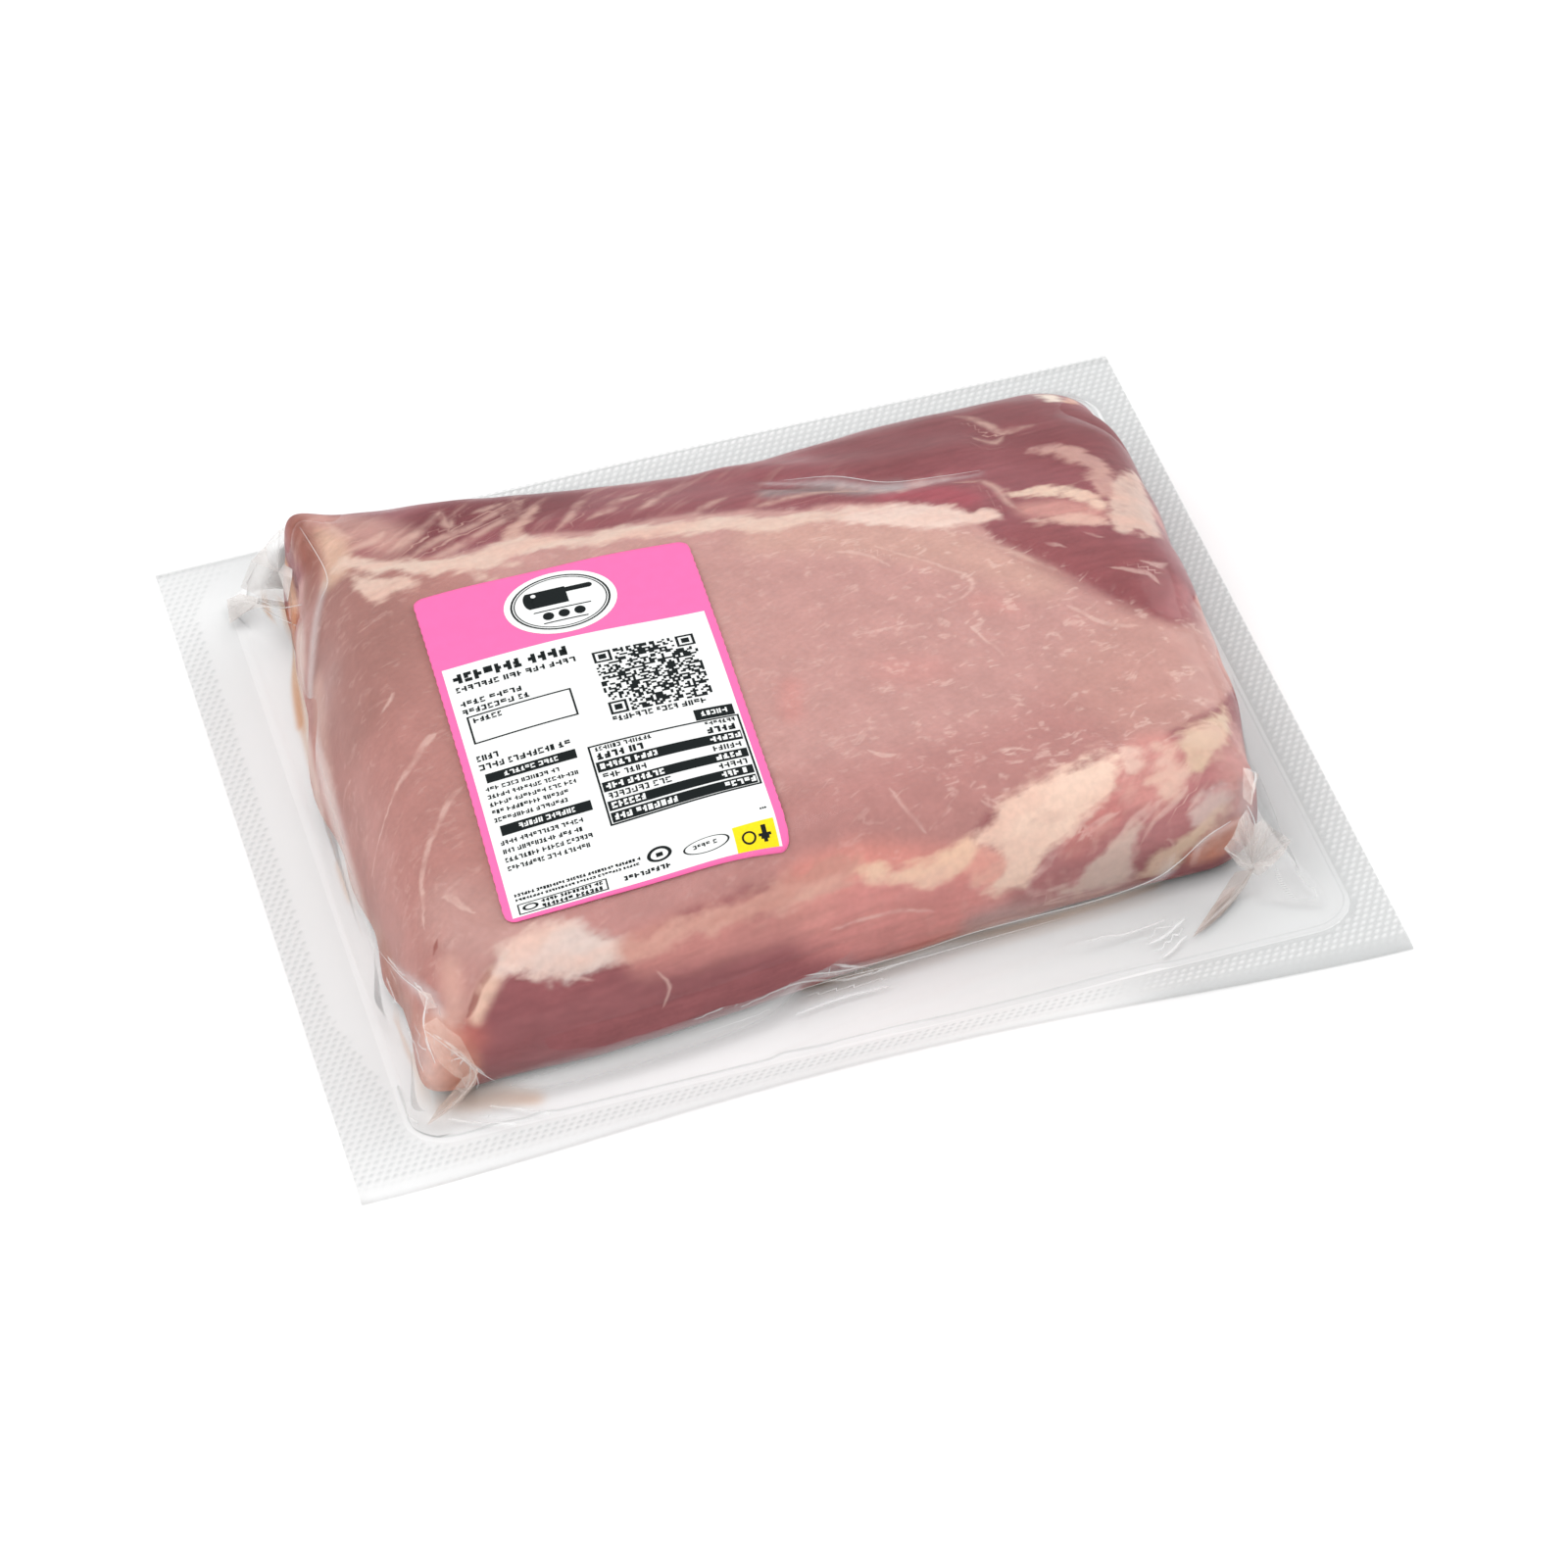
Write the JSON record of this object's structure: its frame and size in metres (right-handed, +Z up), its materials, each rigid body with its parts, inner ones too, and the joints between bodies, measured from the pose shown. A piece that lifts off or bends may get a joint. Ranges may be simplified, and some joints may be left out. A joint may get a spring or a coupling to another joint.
{
  "type": "vacuum-packed raw pork loin",
  "caption": "Piece of raw pork loin under clear film drawn skin-tight, sealed round a flat embossed flange, with a printed label stuck on top.",
  "frame": {"origin": "on the floor under the middle of the pack", "axes": "+X right along the front edge, +Y to the back, +Z up through the loin's thickness"},
  "size_m": [0.225, 0.225, 0.0459],
  "materials": {
    "flange_film": "sealed clear film seen as pale grey, embossed with small staggered dots on the seal",
    "raw_pork": "raw pink meat with cream fat seams and fine marbling, wet and smooth under the film",
    "clear_film": "thin clear glossy film, shrunk tight with creases at the corners",
    "label_paper": null
  },
  "bodies": {
    "root": {"lower_film": "flange_film", "pork_loin": "raw_pork", "upper_film": "clear_film", "label": "label_paper"}
  },
  "joints": []
}
